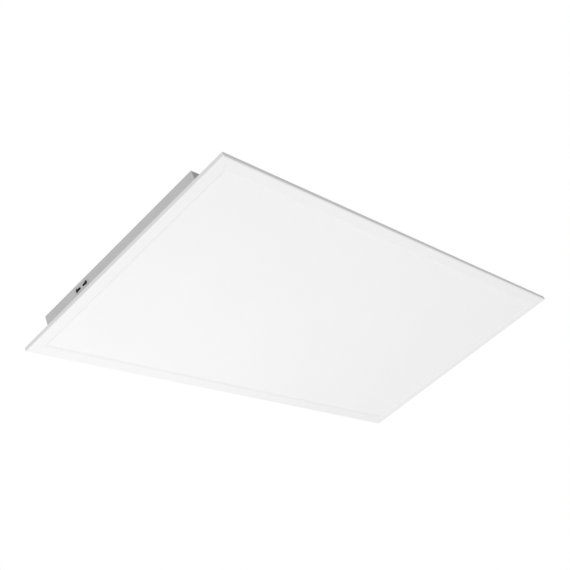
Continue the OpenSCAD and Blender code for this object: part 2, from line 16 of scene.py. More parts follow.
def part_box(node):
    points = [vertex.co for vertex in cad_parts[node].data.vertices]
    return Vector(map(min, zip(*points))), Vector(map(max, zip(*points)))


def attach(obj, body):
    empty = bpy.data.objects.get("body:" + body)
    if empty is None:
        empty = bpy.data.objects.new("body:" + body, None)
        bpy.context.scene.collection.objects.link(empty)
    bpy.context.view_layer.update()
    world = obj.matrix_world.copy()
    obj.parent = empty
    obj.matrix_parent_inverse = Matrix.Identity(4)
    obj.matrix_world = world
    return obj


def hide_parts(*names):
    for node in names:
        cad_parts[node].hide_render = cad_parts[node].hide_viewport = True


MM = 0.001

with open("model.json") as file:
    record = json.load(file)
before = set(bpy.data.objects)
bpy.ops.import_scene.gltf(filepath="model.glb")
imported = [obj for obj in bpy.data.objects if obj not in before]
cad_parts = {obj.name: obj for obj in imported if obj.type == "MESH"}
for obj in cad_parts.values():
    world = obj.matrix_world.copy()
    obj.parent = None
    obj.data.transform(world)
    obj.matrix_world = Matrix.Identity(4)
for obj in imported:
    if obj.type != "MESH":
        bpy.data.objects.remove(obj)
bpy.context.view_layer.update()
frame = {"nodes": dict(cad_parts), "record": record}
nodes_of = frame["nodes"]


# ---------------------------------------------------------------- materials

def new_material(name, color, roughness, metallic=0.0):
    """A Principled material with uniform values on its own sockets: returns it with its node tree."""
    material = bpy.data.materials.new(name)
    material.use_nodes = True
    shader = material.node_tree.nodes["Principled BSDF"]
    shader.inputs["Base Color"].default_value = (*color, 1.0)
    shader.inputs["Roughness"].default_value = roughness
    shader.inputs["Metallic"].default_value = metallic
    return material, material.node_tree, shader


def place(tree, scale=(1.0, 1.0, 1.0)):
    """Object coordinates, stretched by scale: the row frame in metres."""
    coordinates = tree.nodes.new("ShaderNodeTexCoord")
    mapping = tree.nodes.new("ShaderNodeMapping")
    mapping.inputs["Scale"].default_value = scale
    tree.links.new(coordinates.outputs["Object"], mapping.inputs["Vector"])
    return mapping.outputs["Vector"]


def noise(tree, vector, size, detail=3.0, roughness=0.55):
    """Noise whose features are about size metres across."""
    node = tree.nodes.new("ShaderNodeTexNoise")
    node.inputs["Scale"].default_value = 1.0 / size
    node.inputs["Detail"].default_value = detail
    node.inputs["Roughness"].default_value = roughness
    tree.links.new(vector, node.inputs["Vector"])
    return node.outputs["Fac"]


def remap(tree, value, low, high, new_low=0.0, new_high=1.0):
    """value's range low to high, stretched to new_low to new_high and clamped."""
    ranged = tree.nodes.new("ShaderNodeMapRange")
    ranged.inputs["From Min"].default_value = low
    ranged.inputs["From Max"].default_value = high
    ranged.inputs["To Min"].default_value = new_low
    ranged.inputs["To Max"].default_value = new_high
    tree.links.new(value, ranged.inputs["Value"])
    return ranged.outputs["Result"]


def vary_color(tree, shader, factor, dark, light, low=0.3, high=0.7):
    """Base colour that goes from dark to light with factor. Returns that colour."""
    ramp = tree.nodes.new("ShaderNodeValToRGB")
    ramp.color_ramp.elements[0].position = low
    ramp.color_ramp.elements[0].color = (*dark, 1.0)
    ramp.color_ramp.elements[1].position = high
    ramp.color_ramp.elements[1].color = (*light, 1.0)
    tree.links.new(factor, ramp.inputs["Fac"])
    tree.links.new(ramp.outputs["Color"], shader.inputs["Base Color"])
    return ramp.outputs["Color"]


def vary_roughness(tree, shader, factor, low, high):
    """Roughness between low and high with factor."""
    tree.links.new(remap(tree, factor, 0.3, 0.7, low, high), shader.inputs["Roughness"])


def emboss(tree, shader, height, depth, strength=1.0, normal=None):
    """Bump of depth metres from height. A second one is stacked through normal."""
    bump = tree.nodes.new("ShaderNodeBump")
    bump.inputs["Strength"].default_value = strength
    bump.inputs["Distance"].default_value = depth
    tree.links.new(height, bump.inputs["Height"])
    if normal is not None:
        tree.links.new(normal, bump.inputs["Normal"])
    tree.links.new(bump.outputs["Normal"], shader.inputs["Normal"])
    return bump.outputs["Normal"]


def grey(value):
    return (value, value, value)


def rub_edges(tree, shader, color, worn, radius=0.8 * MM):
    """Turns color towards worn in broken patches along the edges, where handling rubs the coat."""
    rounded = tree.nodes.new("ShaderNodeBevel")
    rounded.samples = 4
    rounded.inputs["Radius"].default_value = radius
    geometry = tree.nodes.new("ShaderNodeNewGeometry")
    likeness = tree.nodes.new("ShaderNodeVectorMath")
    likeness.operation = "DOT_PRODUCT"
    tree.links.new(rounded.outputs["Normal"], likeness.inputs[0])
    tree.links.new(geometry.outputs["Normal"], likeness.inputs[1])
    edge = remap(tree, likeness.outputs["Value"], 0.97, 0.8)
    patches = remap(tree, noise(tree, place(tree), 14 * MM, 5.0, 0.7), 0.48, 0.66)
    both = tree.nodes.new("ShaderNodeMath")
    both.operation = "MULTIPLY"
    tree.links.new(edge, both.inputs[0])
    tree.links.new(patches, both.inputs[1])
    mix = tree.nodes.new("ShaderNodeMix")
    mix.data_type = "RGBA"
    mix.inputs["B"].default_value = (*worn, 1.0)
    tree.links.new(both.outputs["Value"], mix.inputs["Factor"])
    tree.links.new(color, mix.inputs["A"])
    tree.links.new(mix.outputs["Result"], shader.inputs["Base Color"])


def powder_coat(name, value):
    """White powder coat: faint orange peel, gloss that drifts a little, and edges rubbed thin."""
    material, tree, shader = new_material(name, grey(value), 0.42)
    where = place(tree)
    patches = noise(tree, where, 60 * MM, 4.0)
    color = vary_color(tree, shader, patches, grey(value * 0.985), grey(value))
    rub_edges(tree, shader, color, grey(value * 0.9))
    vary_roughness(tree, shader, noise(tree, where, 9 * MM), 0.38, 0.48)
    emboss(tree, shader, noise(tree, where, 1.1 * MM, 2.0), 0.02 * MM, 0.35)
    shader.inputs["Coat Weight"].default_value = 0.15
    shader.inputs["Coat Roughness"].default_value = 0.3
    return material


def coated_sheet(name, value):
    """Light grey pre-coated steel: faint rolling streaks along X, handling marks and bare rubbed edges."""
    material, tree, shader = new_material(name, grey(value), 0.45, 0.25)
    streaks = noise(tree, place(tree, (0.02, 1.0, 1.0)), 1.6 * MM, 4.0)
    marks = noise(tree, place(tree), 45 * MM, 6.0, 0.65)
    color = vary_color(tree, shader, marks, grey(value * 0.96), grey(value * 1.03))
    rub_edges(tree, shader, color, grey(value * 0.8))
    vary_roughness(tree, shader, streaks, 0.38, 0.52)
    grain = emboss(tree, shader, streaks, 0.01 * MM, 0.3)
    emboss(tree, shader, noise(tree, place(tree), 90 * MM, 1.0), 0.25 * MM, 0.3, grain)
    return material


def zinc(name, value, roughness=0.34):
    """Zinc-plated steel: mottled grains a few millimetres across."""
    material, tree, shader = new_material(name, grey(value), roughness, 0.9)
    where = place(tree)
    grains = tree.nodes.new("ShaderNodeTexVoronoi")
    grains.inputs["Scale"].default_value = 1.0 / (5 * MM)
    tree.links.new(where, grains.inputs["Vector"])
    color = vary_color(
        tree, shader, grains.outputs["Color"], grey(value * 0.86), grey(value * 1.05), 0.0, 1.0
    )
    rub_edges(tree, shader, color, grey(value * 1.15), 0.5 * MM)
    vary_roughness(tree, shader, noise(tree, where, 2.5 * MM, 4.0), roughness - 0.08, roughness + 0.12)
    emboss(tree, shader, noise(tree, where, 0.8 * MM, 2.0), 0.01 * MM, 0.3)
    return material


def moulded(name, color, roughness=0.5):
    """Moulded plastic with a fine spark-eroded grain."""
    material, tree, shader = new_material(name, color, roughness)
    where = place(tree)
    cloud = noise(tree, where, 12 * MM, 3.0)
    vary_color(tree, shader, cloud, tuple(c * 0.94 for c in color), color)
    vary_roughness(tree, shader, noise(tree, where, 3 * MM), roughness - 0.06, roughness + 0.08)
    emboss(tree, shader, noise(tree, where, 0.35 * MM, 2.0), 0.015 * MM, 0.4)
    return material


def opal(name):
    """Opal diffuser sheet: milky body under a fine frosted surface."""
    material, tree, shader = new_material(name, grey(0.93), 0.55)
    where = place(tree)
    vary_color(tree, shader, noise(tree, where, 180 * MM, 2.0), grey(0.925), grey(0.935))
    vary_roughness(tree, shader, noise(tree, where, 2 * MM), 0.5, 0.6)
    emboss(tree, shader, noise(tree, where, 0.4 * MM, 2.0), 0.01 * MM, 0.25)
    shader.inputs["Subsurface Weight"].default_value = 0.2
    shader.inputs["Subsurface Radius"].default_value = (1.0, 1.0, 1.0)
    shader.inputs["Subsurface Scale"].default_value = 1.5 * MM
    return material


def clear_plastic(name):
    """Clear acrylic with a faint moulding ripple."""
    material, tree, shader = new_material(name, (0.95, 0.97, 0.98), 0.08)
    where = place(tree)
    vary_color(tree, shader, noise(tree, where, 9 * MM), (0.93, 0.95, 0.97), (0.97, 0.98, 0.99))
    vary_roughness(tree, shader, noise(tree, where, 2 * MM), 0.05, 0.12)
    emboss(tree, shader, noise(tree, where, 3 * MM, 1.0), 0.02 * MM, 0.2)
    shader.inputs["Transmission Weight"].default_value = 0.9
    shader.inputs["IOR"].default_value = 1.49
    return material


def blank_label(name, cell, line_width):
    """Paper label ruled into empty boxes, with no lettering."""
    material, tree, shader = new_material(name, grey(0.8), 0.6)
    where = place(tree)
    boxes = tree.nodes.new("ShaderNodeTexBrick")
    boxes.offset = 0.0
    boxes.inputs["Color1"].default_value = (*grey(0.84), 1.0)
    boxes.inputs["Color2"].default_value = (*grey(0.78), 1.0)
    boxes.inputs["Mortar"].default_value = (*grey(0.2), 1.0)
    boxes.inputs["Scale"].default_value = 1.0
    boxes.inputs["Mortar Size"].default_value = line_width
    boxes.inputs["Brick Width"].default_value = cell[0]
    boxes.inputs["Row Height"].default_value = cell[1]
    tree.links.new(where, boxes.inputs["Vector"])
    tree.links.new(boxes.outputs["Color"], shader.inputs["Base Color"])
    vary_roughness(tree, shader, noise(tree, where, 4 * MM), 0.5, 0.7)
    emboss(tree, shader, noise(tree, where, 0.5 * MM, 3.0), 0.02 * MM, 0.3)
    return material


def make_materials():
    """One material for each of the record's slots."""
    return {
        "rail": powder_coat("rail_powder_coat", 0.92),
        "key": zinc("key_die_cast", 0.62, 0.45),
        "fastener": zinc("fastener_zinc", 0.66),
        "seal": moulded("seal_foam", grey(0.03), 0.85),
        "diffuser": opal("opal_sheet"),
        "reflector": moulded("reflector_white", grey(0.9), 0.6),
        "led_strip": moulded("strip_solder_mask", grey(0.86), 0.35),
        "led": moulded("led_phosphor", (0.85, 0.68, 0.12), 0.4),
        "lens": clear_plastic("lens_acrylic"),
        "connector": moulded("connector_nylon", (0.86, 0.84, 0.78)),
        "harness": moulded("harness_red", (0.45, 0.03, 0.03), 0.35),
        "housing": coated_sheet("housing_grey", 0.68),
        "selector_surround": moulded("surround_grey", grey(0.62)),
        "slider": moulded("slider_black", grey(0.012), 0.45),
        "switch_body": moulded("switch_black", grey(0.02)),
        "circuit_board": moulded("board_green", (0.02, 0.16, 0.06), 0.3),
        "cable_jacket": moulded("cable_grey", grey(0.5), 0.45),
        "grommet": moulded("grommet_rubber", grey(0.02), 0.7),
        "wiring_box": powder_coat("box_powder_coat", 0.8),
        "driver_case": powder_coat("driver_white_case", 0.74),
        "splice": moulded("splice_amber", (0.72, 0.32, 0.06), 0.25),
        "line_wire": moulded("wire_black", grey(0.015), 0.3),
        "neutral_wire": moulded("wire_white", grey(0.8), 0.3),
        "ground_wire": moulded("wire_green", (0.02, 0.25, 0.06), 0.3),
        "dimming_wire": moulded("wire_violet", (0.22, 0.06, 0.38), 0.3),
        "ground_screw": zinc("ground_screw_green", 0.4),
        "hanger": zinc("hanger_galvanised", 0.6, 0.4),
        "clip": zinc("clip_galvanised", 0.66, 0.38),
    }


materials = make_materials()
label_paper = blank_label("label_paper", (27 * MM, 9 * MM), 0.35 * MM)
pink_wire = moulded("wire_pink", (0.75, 0.28, 0.4), 0.3)
orange_lever = moulded("lever_orange", (0.85, 0.2, 0.02), 0.3)


# ---------------------------------------------------------------- mesh tools

def spread(start, stop, step):
    """Even values from start to stop, about step apart."""
    count = max(1, round(abs(stop - start) / step))
    return [start + (stop - start) * k / count for k in range(count + 1)]


def refined(start, stop, coarse, fine, near, reach):
    """Values from start to stop: fine steps within reach of each value in near, coarse elsewhere."""
    values = {start, stop}
    for value in spread(start, stop, coarse):
        if all(abs(value - point) > reach + fine / 2 for point in near):
            values.add(value)
    for point in near:
        values.update(v for v in spread(point - reach, point + reach, fine) if start < v < stop)
    ordered = sorted(values)
    return [v for k, v in enumerate(ordered) if k == 0 or v - ordered[k - 1] > fine / 4]


def round_corners(points, radius, steps=6, closed=False):
    """The points of a path, each of whose corners is an arc of that radius."""
    points = [Vector(point).to_3d() for point in points]
    path = []
    for k, corner in enumerate(points):
        if not closed and k in (0, len(points) - 1):
            path.append(corner)
            continue
        back = (points[k - 1] - corner).normalized()
        ahead = (points[(k + 1) % len(points)] - corner).normalized()
        half = back.angle(ahead) / 2
        middle = corner + (back + ahead).normalized() * (radius / math.sin(half))
        start = (corner + back * (radius / math.tan(half)) - middle).normalized()
        stop = (corner + ahead * (radius / math.tan(half)) - middle).normalized()
        path += [middle + start.slerp(stop, n / steps) * radius for n in range(steps + 1)]
    return path


def circle(middle, radius, steps=24):
    """A closed outline."""
    turns = [2 * math.pi * k / steps for k in range(steps)]
    return [Vector((middle[0] + radius * math.cos(a), middle[1] + radius * math.sin(a))) for a in turns]


def inside(point, loop):
    """True if point is inside a closed 2D loop."""
    odd = False
    for a, b in zip(loop, loop[1:] + loop[:1]):
        if (a[1] > point[1]) != (b[1] > point[1]):
            odd ^= point[0] < a[0] + (point[1] - a[1]) * (b[0] - a[0]) / (b[1] - a[1])
    return odd


def lay_blank(outline, holes, spacing, fold):
    """A bmesh of a flat blank with holes, each point taken to fold(u, v)."""
    loops = [[Vector(p[:2]) for p in loop] for loop in [outline] + holes]
    points = [p for loop in loops for p in loop]
    edges, first = [], 0
    for loop in loops:
        edges += [(first + k, first + (k + 1) % len(loop)) for k in range(len(loop))]
        first += len(loop)
    low = [min(p[axis] for p in loops[0]) for axis in (0, 1)]
    high = [max(p[axis] for p in loops[0]) for axis in (0, 1)]
    rim = list(points)
    for u in spread(low[0], high[0], spacing):
        for v in spread(low[1], high[1], spacing):
            point = Vector((u, v))
            if inside(point, loops[0]) and all((point - p).length > spacing * 0.6 for p in rim):
                points.append(point)
    spots, _, faces = delaunay_2d_cdt(points, edges, [], 0, 1e-7)[:3]
    mesh = bmesh.new()
    verts = [mesh.verts.new(fold(p[0], p[1])) for p in spots]
    for face in faces:
        centre = sum((spots[k] for k in face), Vector((0, 0))) / len(face)
        if inside(centre, loops[0]) and not any(inside(centre, hole) for hole in loops[1:]):
            mesh.faces.new([verts[k] for k in face])
    bmesh.ops.delete(mesh, geom=[v for v in mesh.verts if not v.link_faces], context="VERTS")
    return mesh


def lay_grid(mesh, rows):
    """Quads between rows of points."""
    rows = [[mesh.verts.new(point) for point in row] for row in rows]
    for row, after in zip(rows, rows[1:]):
        for k in range(len(row) - 1):
            mesh.faces.new((row[k], row[k + 1], after[k + 1], after[k]))


def lay_loft(mesh, loops):
    """Skin over closed loops of points, with both ends capped."""
    loops = [[mesh.verts.new(point) for point in loop] for loop in loops]
    for loop, after in zip(loops, loops[1:]):
        for k in range(len(loop)):
            n = (k + 1) % len(loop)
            mesh.faces.new((loop[k], loop[n], after[n], after[k]))
    mesh.faces.new(loops[0][::-1])
    mesh.faces.new(loops[-1])


def lay_turned(mesh, profile, origin, steps=24, shape=None):
    """A turned form about Z from origin: profile is (radius, height) from the lower end to the upper one.

    shape(step, radius, height) may give another height.
    """
    rings = []
    for radius, height in profile:
        ring = []
        for k in range(steps if radius > 0 else 1):
            angle = 2 * math.pi * k / steps
            z = shape(k, radius, height) if shape else height
            spot = Vector((radius * math.cos(angle), radius * math.sin(angle), z))
            ring.append(mesh.verts.new(Vector(origin) + spot))
        rings.append(ring)
    for ring, after in zip(rings, rings[1:]):
        for k in range(steps):
            n = (k + 1) % steps
            corners = [ring[k % len(ring)], ring[n % len(ring)]]
            corners += [after[n % len(after)], after[k % len(after)]]
            corners = [v for j, v in enumerate(corners) if v not in corners[:j]]
            if len(corners) > 2:
                mesh.faces.new(corners)
    for ring in (rings[0], rings[-1]):
        if len(ring) > 1:
            mesh.faces.new(ring)


def add_piece(name, mesh, body, slot, replaced=(), material=None):
    """Turns a bmesh into a piece that rides on a body and wears a slot's material."""
    data = bpy.data.meshes.new(name)
    mesh.to_mesh(data)
    mesh.free()
    piece = bpy.data.objects.new(name, data)
    bpy.context.scene.collection.objects.link(piece)
    data.materials.append(material or materials[slot])
    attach(piece, body)
    if replaced:
        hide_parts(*replaced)
    return piece


def settle(piece, sharp=35):
    """Applies the piece's modifiers and smooths all but its sharp edges."""
    evaluated = piece.evaluated_get(bpy.context.evaluated_depsgraph_get())
    data = bpy.data.meshes.new_from_object(evaluated)
    piece.modifiers.clear()
    piece.data = data
    data.shade_smooth()
    data.set_sharp_from_angle(angle=math.radians(sharp))


def thicken(piece, thickness, edge=0.0):
    """Gives a sheet its thickness, behind the side that its faces look to, and breaks its edges."""
    solid = piece.modifiers.new("thickness", "SOLIDIFY")
    solid.thickness = thickness
    solid.offset = -1
    solid.use_even_offset = True
    if edge:
        soften(piece, edge, 1)
    settle(piece)


def face_towards(mesh, direction):
    """Turns a sheet's faces so that on the whole they look towards direction."""
    bmesh.ops.recalc_face_normals(mesh, faces=mesh.faces)
    mesh.normal_update()
    lean = sum(face.normal.dot(Vector(direction)) * face.calc_area() for face in mesh.faces)
    if lean < 0:
        bmesh.ops.reverse_faces(mesh, faces=mesh.faces)


def closed(mesh):
    """Makes the faces of closed forms look outwards."""
    bmesh.ops.recalc_face_normals(mesh, faces=mesh.faces)
    return mesh


def soften(obj, width, segments=2):
    """Rounds the hard edges with a modifier, which leaves a CAD node's mesh as it is."""
    bevel = obj.modifiers.new("soft_edges", "BEVEL")
    bevel.width = width
    bevel.segments = segments
    bevel.limit_method = "ANGLE"
    bevel.angle_limit = math.radians(40)
    bevel.use_clamp_overlap = True


def corners_of(node):
    """The lower and the upper corner of a CAD node's box."""
    return tuple(Vector(corner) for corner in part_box(node))


def solids_of(node):
    """The box of each separate solid in a CAD node: a list of (lowest corner, highest corner)."""
    mesh = bmesh.new()
    mesh.from_mesh(nodes_of[node].data)
    bmesh.ops.remove_doubles(mesh, verts=mesh.verts, dist=1e-6)
    left = set(mesh.verts)
    boxes = []
    while left:
        stack = [left.pop()]
        found = []
        while stack:
            vertex = stack.pop()
            found.append(vertex.co.copy())
            for edge in vertex.link_edges:
                other = edge.other_vert(vertex)
                if other in left:
                    left.remove(other)
                    stack.append(other)
        low = Vector([min(point[axis] for point in found) for axis in range(3)])
        high = Vector([max(point[axis] for point in found) for axis in range(3)])
        boxes.append((low, high))
    mesh.free()
    return sorted(boxes, key=lambda box: tuple(round(value, 5) for value in box[0]))


# ---------------------------------------------------------------- fasteners

def lay_screw(mesh, low, high, steps=32):
    """Pan-head screw with a cross recess, as wide and high as its CAD solid."""
    middle = (low + high) / 2
    radius = (high.x - low.x) / 2
    head = 1.8 * MM
    neck = high.z - low.z - head
    reach, depth = radius * 0.6, 0.9 * MM

    def recess(step, r, z):
        arm = step % (steps // 4) in (0, 1, steps // 4 - 1)
        return z - depth * (1 - 0.6 * r / reach) if z > neck and r < reach and arm else z

    shank = 1.4 * MM
    profile = [(0, 0), (shank * 0.4, 0.2 * MM), (shank, 1.0 * MM), (shank, neck), (radius * 0.96, neck)]
    profile.append((radius, neck + 0.25 * MM))
    for share in (0.97, 0.9, 0.78, 0.64, 0.58, 0.45, 0.3, 0.15):
        profile.append((radius * share, neck + head * (1 - 0.75 * share ** 3.2)))
    profile.append((0, neck + head - depth))
    lay_turned(mesh, profile, (middle.x, middle.y, low.z), steps, recess)


def screws(node, body):
    """Replaces a node of screws by domed ones."""
    mesh = bmesh.new()
    for low, high in solids_of(node):
        lay_screw(mesh, low, high)
    settle(add_piece(node + "_detail", closed(mesh), body, "fastener", [node]))


def rivets(node, slot):
    """Replaces a node of rivets by pop rivets: a domed flange with the broken stem inside its mouth."""
    mesh = bmesh.new()
    dome = [(1.0, 0.0), (0.98, 0.3), (0.86, 0.62), (0.6, 0.9), (0.42, 1.0), (0.36, 0.92), (0.34, 0.55)]
    for low, high in solids_of(node):
        middle = (low + high) / 2
        radius = (high.x - low.x) / 2
        head = 0.9 * MM
        bottom = [(0, 0), (radius * 0.5, 0), (radius * 0.9, head * 0.3), (radius, head)]
        shank = [(radius * 0.57, head), (radius * 0.57, high.z - low.z - head)]
        top = [(radius * share, high.z - low.z - head + head * lift) for share, lift in dome]
        stem = [(0, high.z - low.z - head * 0.55)]
        lay_turned(mesh, bottom + shank + top + stem, (middle.x, middle.y, low.z), 20)
    settle(add_piece(node + "_detail", closed(mesh), "panel", slot, [node]))


# ---------------------------------------------------------------- face

def diffuser():
    """Opal sheet that sags a hair between its edges, thinner than the bezel is deep."""
    low, high = corners_of("diffuser_plate")
    flat_rim = 15 * MM
    sag = 0.5 * MM

    def drop(x, y):
        across = min(x - low.x, high.x - x) - flat_rim
        along = min(y - low.y, high.y - y) - flat_rim
        if min(across, along) <= 0:
            return 0.0
        share_x = min(1.0, across / (0.25 * (high.x - low.x)))
        share_y = min(1.0, along / (0.45 * (high.y - low.y)))
        return sag * math.sin(math.pi / 2 * share_x) * math.sin(math.pi / 2 * share_y)

    mesh = bmesh.new()
    across = refined(low.x, high.x, 20 * MM, 4 * MM, (low.x + flat_rim, high.x - flat_rim), 8 * MM)
    along = refined(low.y, high.y, 20 * MM, 4 * MM, (low.y + flat_rim, high.y - flat_rim), 8 * MM)
    lay_grid(mesh, [[Vector((x, y, low.z - drop(x, y))) for y in along] for x in across])
    face_towards(mesh, (0, 0, -1))
    piece = add_piece("diffuser_sheet", mesh, "panel", "diffuser", ["diffuser_plate"])
    thicken(piece, high.z - low.z, 0.2 * MM)


# ---------------------------------------------------------------- housing

def pan_beads(half_x):
    """Pressed stiffening beads on the pan's back: (start x, end x, y)."""
    outer = half_x - 62 * MM
    inner, middle, pitch = 205 * MM, 145 * MM, 112 * MM
    beads = [(side * inner, side * outer, 0.0) for side in (-1, 1)]
    for y in (-pitch, pitch):
        beads += [(side * inner, side * outer, y) for side in (-1, 1)]
        beads.append((-middle, middle, y))
    return [(min(a, b), max(a, b), y) for a, b, y in beads]


def back_pan():
    """The housing pan: one folded sheet with bent corners and pressed beads."""
    low, high = corners_of("housing_pan")
    sheet = 0.6 * MM
    wall = 225 * MM
    rim = low.z + sheet
    bend = 0.8 * MM
    bead_width, bead_height = 17 * MM, 1.3 * MM
    beads = pan_beads(high.x)

    def raised(x, y):
        lift = 0.0
        for start, stop, line in beads:
            gap = math.hypot(x - min(max(x, start), stop), y - line)
            if gap < bead_width / 2:
                lift = max(lift, bead_height * math.cos(math.pi * gap / bead_width) ** 2)
        return lift

    corner = [(low.y, rim), (-wall, rim), (-wall, high.z), (0, high.z)]
    side = [(p.x, p.y) for p in round_corners(corner, bend)[:-1]]
    lines = sorted({line for _, _, line in beads})
    flat = refined(side[-1][0], -side[-1][0], 16 * MM, 2.1 * MM, lines, bead_width / 2 + 0.2 * MM)
    section = side[:-1] + [(y, high.z) for y in flat] + [(-y, z) for y, z in side[-2::-1]]
    ends = sorted({x for start, stop, _ in beads for x in (start, stop)})
    lengths = refined(low.x, high.x, 24 * MM, 2.4 * MM, ends, bead_width / 2 + 0.2 * MM)
    rows = []
    for x in lengths:
        row = [Vector((x, y, z + (raised(x, y) if z == high.z else 0))) for y, z in section]
        rows.append(row)
    mesh = bmesh.new()
    lay_grid(mesh, rows)
    face_towards(mesh, (0, 0, 1))
    thicken(add_piece("back_pan", mesh, "panel", "housing", ["housing_pan"]), sheet)


def hanger_tab(node):
    """Tie-wire tab: a strip bent twice, with rounded corners, a wire hole and two rivet holes."""
    low, high = corners_of(node)
    out = 1 if low.x > 0 else -1
    inner = low.x if out > 0 else high.x
    middle = (low.y + high.y) / 2
    thick = 1.2 * MM
    rise = high.z - low.z
    hole_x, rivet_x, rivet_y = 560 * MM, 535 * MM, 5 * MM
    base, reach = 20 * MM, abs(high.x - low.x)
    bend = 1.6 * MM
    route = round_corners([(0, thick), (base, thick), (base, rise), (reach, rise)], bend, 5)
    lengths = [0.0]
    for a, b in zip(route, route[1:]):
        lengths.append(lengths[-1] + (b - a).length)

    def fold(u, v):
        k = max(n for n in range(len(route) - 1) if lengths[n] <= u + 1e-9)
        spot = route[k].lerp(route[k + 1], (u - lengths[k]) / (lengths[k + 1] - lengths[k]))
        return Vector((inner + out * spot.x, middle + v, low.z + spot.y))

    half, total = (high.y - low.y) / 2, lengths[-1]
    corners = [(0, -half), (total, -half), (total, half), (0, half)]
    outline = round_corners(corners, 3 * MM, 5, closed=True)
    hole_u = total - (reach - abs(hole_x * out - inner))
    holes = [circle((hole_u, 0), 3.5 * MM)]
    for side in (-1, 1):
        holes.append(circle((abs(out * rivet_x - inner), side * rivet_y), 1.65 * MM, 12))
    mesh = lay_blank(outline, holes, 1.5 * MM, fold)
    face_towards(mesh, (0, 0, 1))
    thicken(add_piece(node + "_detail", mesh, "panel", "hanger", [node]), thick, 0.15 * MM)


def clip_arm(node, body):
    """Swing-out clip: a pressed arm with a stiffening rib and a finger tab bent up at its tip."""
    low, high = corners_of(node)
    width, thick = 18 * MM, 1.5 * MM
    reach = high.x - low.x - width
    pivot = Vector((low.x + width / 2 if low.x < 0 else high.x - width / 2, 0))
    pivot_y = 205 * MM
    pivot.y = pivot_y * (1 if high.y > 0 else -1)
    out_x = 1 if low.x < 0 else -1
    out_y = -1 if pivot.y > 0 else 1
    finger, height, bend = 12 * MM, high.z - low.z, 1.8 * MM
    ribs = ((62 * MM, reach - 14 * MM), (16 * MM, 40 * MM))
    rib_half, rib_height, chamfer = 4 * MM, 0.6 * MM, 1 * MM
    edge = width / 2 - bend
    quarter = bend * math.pi / 2

    def fold(u, v):
        z = thick
        if v < -edge and u > reach - finger - 1 * MM:
            along = -v - edge
            if along < quarter:
                v = -edge - bend * math.sin(along / bend)
                z += bend * (1 - math.cos(along / bend))
            else:
                v = -width / 2
                z += bend + along - quarter
        for start, stop in ribs:
            gap = math.hypot(u - min(max(u, start), stop), v)
            if gap < rib_half:
                z += rib_height * math.cos(math.pi * gap / (2 * rib_half)) ** 2
        return Vector((pivot.x + out_x * u, pivot.y + out_y * v, low.z + z))

    arc = [math.pi * (0.5 + k / 12) for k in range(13)]
    outline = [Vector((width / 2 * math.cos(a), width / 2 * math.sin(a))) for a in arc]
    flap = edge + quarter + height - thick - bend
    outline += [Vector((reach - finger, -width / 2)), Vector((reach - finger, -flap + chamfer))]
    outline += [Vector((reach - finger + chamfer, -flap)), Vector((reach - chamfer, -flap))]
    outline += [Vector((reach, -flap + chamfer))]
    arc = [math.pi * (-0.5 + k / 12) for k in range(13)]
    outline += [Vector((reach + width / 2 * math.cos(a), width / 2 * math.sin(a))) for a in arc]
    holes = [circle((0, 0), 2.55 * MM), circle((reach / 2, 0), 2.5 * MM)]
    mesh = lay_blank(outline, holes, 1.3 * MM, fold)
    face_towards(mesh, (0, 0, 1))
    thicken(add_piece(node + "_detail", mesh, body, "clip", [node]), thick, 0.2 * MM)


def clip_posts():
    """Shoulder posts: a turned foot under each clip and a domed, staked head over it."""
    mesh = bmesh.new()
    clip_low, clip_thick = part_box("tbar_clip_1")[0][2], 1.5 * MM
    for low, high in solids_of("clip_posts"):
        middle = (low + high) / 2
        foot_top = clip_low - low.z - 0.1 * MM
        sheet_top = 1.6 * MM
        head = clip_low + clip_thick + 0.1 * MM - low.z
        top = high.z - low.z
        profile = [(0, 0), (3.6, 0), (4.0, 0.3), (4.0, 1.0), (2.5, 1.0)]
        profile = [(r * MM, z * MM) for r, z in profile]
        profile += [(2.5 * MM, sheet_top), (5.6 * MM, sheet_top), (6 * MM, sheet_top + 0.4 * MM)]
        profile += [(6 * MM, foot_top - 0.5 * MM), (5.5 * MM, foot_top), (2.5 * MM, foot_top)]
        profile += [(2.5 * MM, head), (4.8 * MM, head), (5 * MM, head + 0.3 * MM)]
        for share in (0.9, 0.7, 0.5):
            profile.append((5 * MM * share, head + (top - head) * (1 - 0.55 * share ** 3)))
        profile += [(1.6 * MM, top - 0.05 * MM), (1.2 * MM, top - 0.45 * MM), (0, top - 0.55 * MM)]
        lay_turned(mesh, profile, (middle.x, middle.y, low.z), 32)
    settle(add_piece("clip_posts_detail", closed(mesh), "panel", "clip", ["clip_posts"]))


# ---------------------------------------------------------------- wiring box

